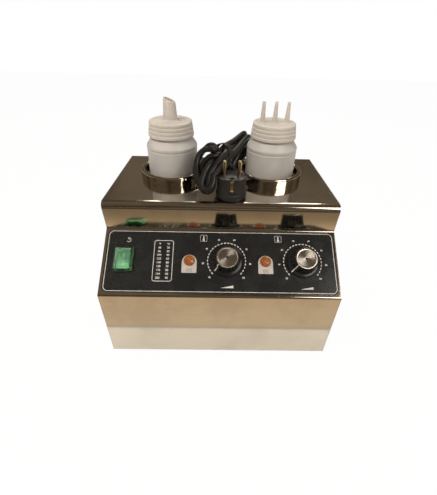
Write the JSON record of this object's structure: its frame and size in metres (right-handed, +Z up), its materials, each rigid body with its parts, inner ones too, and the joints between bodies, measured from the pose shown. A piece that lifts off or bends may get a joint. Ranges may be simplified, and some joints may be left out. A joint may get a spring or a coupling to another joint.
{
  "type": "hot fudge topping warmer",
  "caption": "Countertop warmer for squeeze bottles of topping: a folded steel case with heated wells, a sloping panel with knobs and a rocker, and capped bottles that lift out.",
  "frame": {"origin": "on the surface that the feet stand on, under the centre of the case without its free lead", "axes": "+X to the user's right, +Y to the rear, +Z up"},
  "size_m": [0.3, 0.3195, 0.3103],
  "materials": {
    "stainless_sheet": "fine-brushed stainless sheet",
    "polished_steel": "mirror-polished stainless",
    "drawn_steel": "plain drawn stainless",
    "plated_steel": "bright zinc plate",
    "foot_rubber": "matt black",
    "overlay_print": "gloss black print under clear film",
    "switch_black": "semi-gloss black",
    "rocker_green": "translucent green",
    "boot_clear": "clear soft vinyl",
    "thermostat_case": "moulded black",
    "nut_brass": "nickel-plated brass",
    "shaft_steel": "turned steel",
    "knob_black": "satin black phenolic",
    "knob_aluminium": "spun aluminium",
    "lamp_housing": "moulded black",
    "lamp_amber": "faceted amber lens",
    "heater_band": "steel-clad mica band",
    "felt": "white needled glass felt",
    "copper": "bare copper",
    "terminal_white": "off-white ceramic-filled plastic",
    "bottle_natural": "translucent natural polyethylene",
    "cap_natural": "natural polyethylene",
    "seal_silicone": "clear silicone",
    "cord_black": "satin black sheath",
    "plug_black": "moulded satin black",
    "pin_nickel": "nickel-plated brass",
    "gland_black": "moulded black nylon",
    "wire_sleeves": "brown, blue and green-yellow sleeves"
  },
  "bodies": {
    "case": {"back_panel": "stainless_sheet", "band_heater_left": "heater_band", "band_heater_right": "heater_band", "base_plate": "plated_steel", "base_screws": "plated_steel", "bulb_strap_left": "plated_steel", "bulb_strap_right": "plated_steel", "cable_gland": "gland_black", "capillary_left": "copper", "capillary_right": "copper", "collar_left": "polished_steel", "collar_right": "polished_steel", "control_overlay": "overlay_print", "cord_hank": "cord_black", "cord_tie": "cord_black", "earth_stud": "nut_brass", "foot_screws": "plated_steel", "gland_locknut": "gland_black", "heater_screws": "plated_steel", "housing_wrap": "stainless_sheet", "insulation_left": "felt", "insulation_right": "felt", "lamp_body_left": "lamp_housing", "lamp_body_right": "lamp_housing", "lamp_lens_left": "lamp_amber", "lamp_lens_right": "lamp_amber", "lead_tail": "wire_sleeves", "plug_body": "plug_black", "plug_earth_clips": "pin_nickel", "plug_pins": "pin_nickel", "power_lead": "cord_black", "rubber_feet": "foot_rubber", "side_panel_left": "stainless_sheet", "side_panel_right": "stainless_sheet", "switch_boot": "boot_clear", "switch_housing": "switch_black", "terminal_block": "terminal_white", "terminal_screws": "pin_nickel", "thermostat_body_left": "thermostat_case", "thermostat_body_right": "thermostat_case", "thermostat_nuts": "nut_brass", "well_left": "drawn_steel", "well_right": "drawn_steel"},
    "rocker": {"power_rocker": "rocker_green"},
    "knob_left": {"knob_left": "knob_black", "knob_disc_left": "knob_aluminium", "thermostat_shaft_left": "shaft_steel"},
    "bottle_left": {"bottle_left": "bottle_natural"},
    "cap_seal_left": {"cap_seal_left": "seal_silicone"},
    "cap_left": {"cap_left": "cap_natural"},
    "knob_right": {"knob_right": "knob_black", "knob_disc_right": "knob_aluminium", "thermostat_shaft_right": "shaft_steel"},
    "bottle_right": {"bottle_right": "bottle_natural"},
    "cap_seal_right": {"cap_seal_right": "seal_silicone"},
    "cap_right": {"cap_right": "cap_natural"}
  },
  "joints": [
    {"name": "rocker_tilt", "type": "hinge", "parent": "case", "child": "rocker", "pos_m": [-0.1223, -0.08218, 0.14235], "axis": [-1, 0, 0], "range_deg": [0, 20]},
    {"name": "knob_left_turn", "type": "hinge", "parent": "case", "child": "knob_left", "pos_m": [0.0075, -0.08858, 0.15129], "axis": [0, 0.5821, -0.8131], "range_deg": [0, 262]},
    {"name": "bottle_left_lift", "type": "slide", "parent": "case", "child": "bottle_left", "axis": [0, 0, 1], "range_m": [0, 0.2]},
    {"name": "cap_seal_left_rise", "type": "slide", "parent": "bottle_left", "child": "cap_seal_left", "axis": [0, 0, 1], "range_m": [0, 0.0181]},
    {"name": "cap_left_turn", "type": "hinge", "parent": "cap_seal_left", "child": "cap_left", "pos_m": [-0.07, 0.045, 0.2763], "axis": [0, 0, 1], "range_deg": [0, 720]},
    {"name": "knob_right_turn", "type": "hinge", "parent": "case", "child": "knob_right", "pos_m": [0.1045, -0.08858, 0.15129], "axis": [0, 0.5821, -0.8131], "range_deg": [0, 262]},
    {"name": "bottle_right_lift", "type": "slide", "parent": "case", "child": "bottle_right", "axis": [0, 0, 1], "range_m": [0, 0.2]},
    {"name": "cap_seal_right_rise", "type": "slide", "parent": "bottle_right", "child": "cap_seal_right", "axis": [0, 0, 1], "range_m": [0, 0.0181]},
    {"name": "cap_right_turn", "type": "hinge", "parent": "cap_seal_right", "child": "cap_right", "pos_m": [0.07, 0.045, 0.2763], "axis": [0, 0, 1], "range_deg": [0, 720]}
  ],
  "couplings": [
    {"joint": "cap_seal_left_rise", "follows": "cap_left_turn", "m_per_rad": 0.0014324},
    {"joint": "cap_seal_right_rise", "follows": "cap_right_turn", "m_per_rad": 0.0014324}
  ]
}
